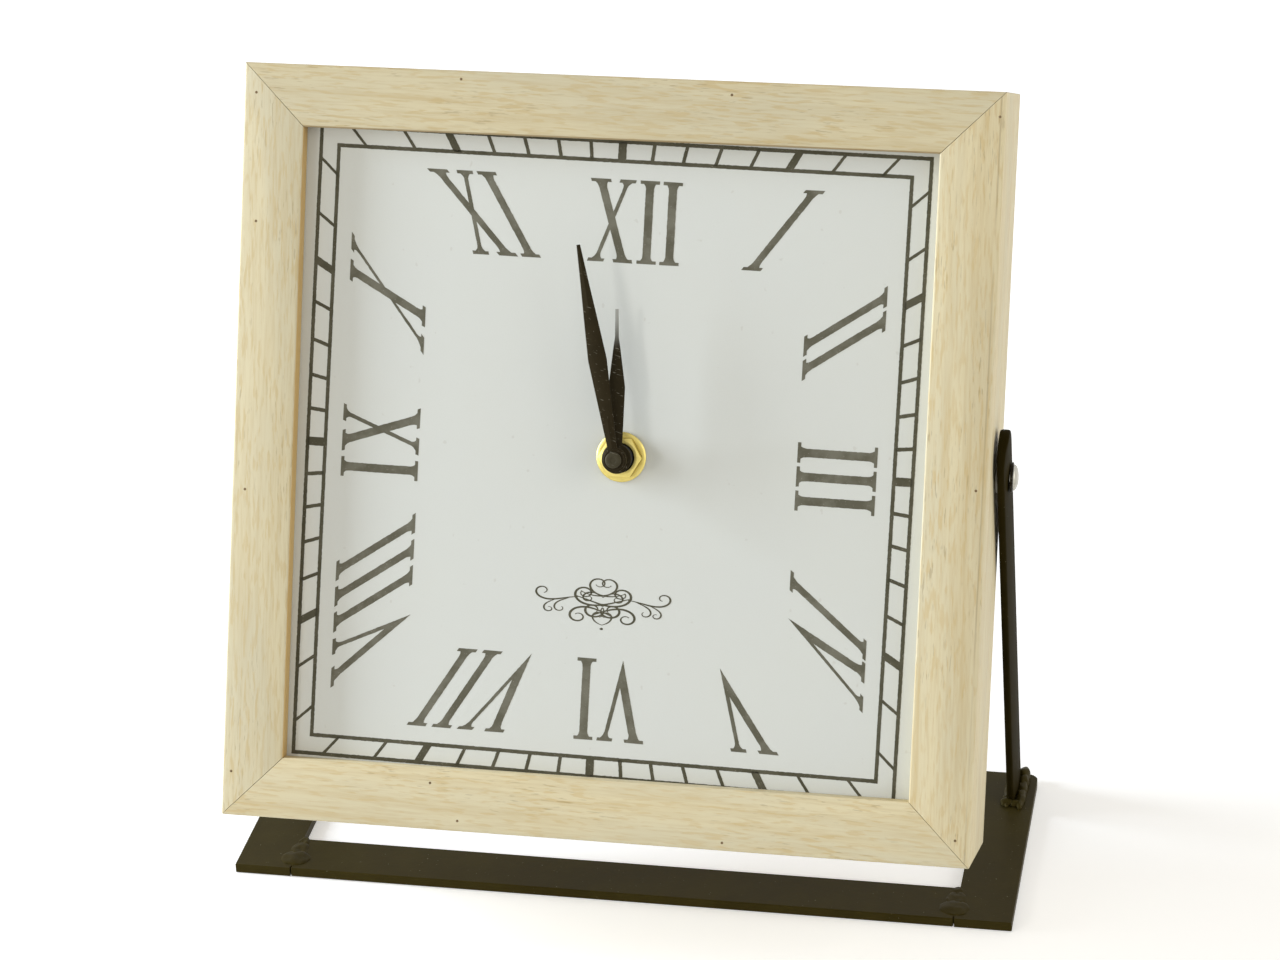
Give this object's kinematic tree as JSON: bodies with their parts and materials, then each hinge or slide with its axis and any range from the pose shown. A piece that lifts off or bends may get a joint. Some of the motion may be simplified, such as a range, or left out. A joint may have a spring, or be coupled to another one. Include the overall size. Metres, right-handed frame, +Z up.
{
  "type": "table clock",
  "caption": "Square wooden table clock with Roman numerals and a printed minute track, tilting on a flat steel stand.",
  "frame": {"origin": "middle of the front bar's underside, on the surface that the clock stands on", "axes": "+X to the viewer's right, +Y from the dial to the back, +Z up"},
  "size_m": [0.2386, 0.1244, 0.2482],
  "materials": {
    "painted_steel": "satin",
    "black_metal": "satin",
    "bright_steel": "polished",
    "pale_wood": "matte",
    "dial_print": "matte",
    "fibreboard": "matte",
    "brass": "polished",
    "rubber": "matte",
    "housing_plastic": "satin",
    "gear_plastic": "satin",
    "cell_jacket": "gloss",
    "tinned_steel": "satin",
    "copper_wire": "gloss",
    "circuit": "satin"
  },
  "bodies": {
    "stand": {"base_front_bar": "painted_steel", "base_side_bar_left": "painted_steel", "base_side_bar_right": "painted_steel", "upright_left": "painted_steel", "upright_right": "painted_steel", "foot_weld_left": "painted_steel", "foot_weld_right": "painted_steel"},
    "case": {"pivot_screw_left": "bright_steel", "pivot_screw_right": "bright_steel", "pivot_washer_left": "black_metal", "pivot_washer_right": "black_metal", "pivot_spacer_left": "gear_plastic", "pivot_spacer_right": "gear_plastic", "rail_top": "pale_wood", "rail_right": "pale_wood", "rail_bottom": "pale_wood", "rail_left": "pale_wood", "dial_paper": "dial_print", "dial_board": "fibreboard", "brass_washer": "brass", "brass_nut": "brass", "rubber_washer": "rubber", "movement_shell": "housing_plastic", "movement_cover": "housing_plastic", "battery_cell": "cell_jacket", "contact_positive": "tinned_steel", "contact_negative": "tinned_steel", "coil": "copper_wire", "stator": "tinned_steel", "circuit_board": "circuit"},
    "minute_hand_group": {"minute_arbor": "brass", "minute_hand": "black_metal", "minute_cap": "black_metal"},
    "hour_hand_group": {"hour_wheel": "gear_plastic", "hour_hand": "black_metal"},
    "minute_wheel_group": {"minute_wheel": "gear_plastic"},
    "knob_group": {"setting_knob": "gear_plastic"},
    "centre_wheel_group": {"centre_wheel": "brass"},
    "third_wheel_group": {"third_wheel": "brass"},
    "fourth_wheel_group": {"fourth_wheel": "brass"},
    "fifth_wheel_group": {"fifth_wheel": "gear_plastic"},
    "rotor_group": {"rotor": "tinned_steel"}
  },
  "joints": [
    {"name": "case_tilt", "type": "hinge", "parent": "stand", "child": "case", "pos_m": [0, 0.02081, 0.1362], "axis": [1, 0, 0], "continuous": true},
    {"name": "minute_hand_turn", "type": "hinge", "parent": "case", "child": "minute_hand_group", "pos_m": [0.004, 0.02134, 0.1375], "axis": [0, 0.9265, -0.3762], "continuous": true},
    {"name": "hour_hand_turn", "type": "hinge", "parent": "case", "child": "hour_hand_group", "pos_m": [0.004, 0.02134, 0.1375], "axis": [0, 0.9265, -0.3762], "continuous": true},
    {"name": "minute_wheel_turn", "type": "hinge", "parent": "case", "child": "minute_wheel_group", "pos_m": [-0.006, 0.02134, 0.1375], "axis": [0, 0.9265, -0.3762], "continuous": true},
    {"name": "setting_knob_turn", "type": "hinge", "parent": "case", "child": "knob_group", "pos_m": [-0.016, 0.02134, 0.1375], "axis": [0, 0.9265, -0.3762], "continuous": true},
    {"name": "centre_wheel_turn", "type": "hinge", "parent": "case", "child": "centre_wheel_group", "pos_m": [0.004, 0.02134, 0.1375], "axis": [0, 0.9265, -0.3762], "continuous": true},
    {"name": "third_wheel_turn", "type": "hinge", "parent": "case", "child": "third_wheel_group", "pos_m": [0.01285, 0.02367, 0.14324], "axis": [0, 0.9265, -0.3762], "continuous": true},
    {"name": "fourth_wheel_turn", "type": "hinge", "parent": "case", "child": "fourth_wheel_group", "pos_m": [0.01108, 0.02745, 0.15254], "axis": [0, 0.9265, -0.3762], "continuous": true},
    {"name": "fifth_wheel_turn", "type": "hinge", "parent": "case", "child": "fifth_wheel_group", "pos_m": [0.00103, 0.02678, 0.1509], "axis": [0, 0.9265, -0.3762], "continuous": true},
    {"name": "rotor_turn", "type": "hinge", "parent": "case", "child": "rotor_group", "pos_m": [-0.00461, 0.02601, 0.149], "axis": [0, 0.9265, -0.3762], "continuous": true}
  ],
  "couplings": [
    {"joint": "hour_hand_turn", "follows": "minute_hand_turn", "ratio": 0.083333},
    {"joint": "minute_wheel_turn", "follows": "minute_hand_turn", "ratio": -0.33333},
    {"joint": "setting_knob_turn", "follows": "minute_hand_turn", "ratio": 1},
    {"joint": "third_wheel_turn", "follows": "fourth_wheel_turn", "ratio": -0.13333},
    {"joint": "centre_wheel_turn", "follows": "fourth_wheel_turn", "ratio": 0.016667},
    {"joint": "fifth_wheel_turn", "follows": "fourth_wheel_turn", "ratio": -7.5},
    {"joint": "rotor_turn", "follows": "fourth_wheel_turn", "ratio": 30}
  ]
}
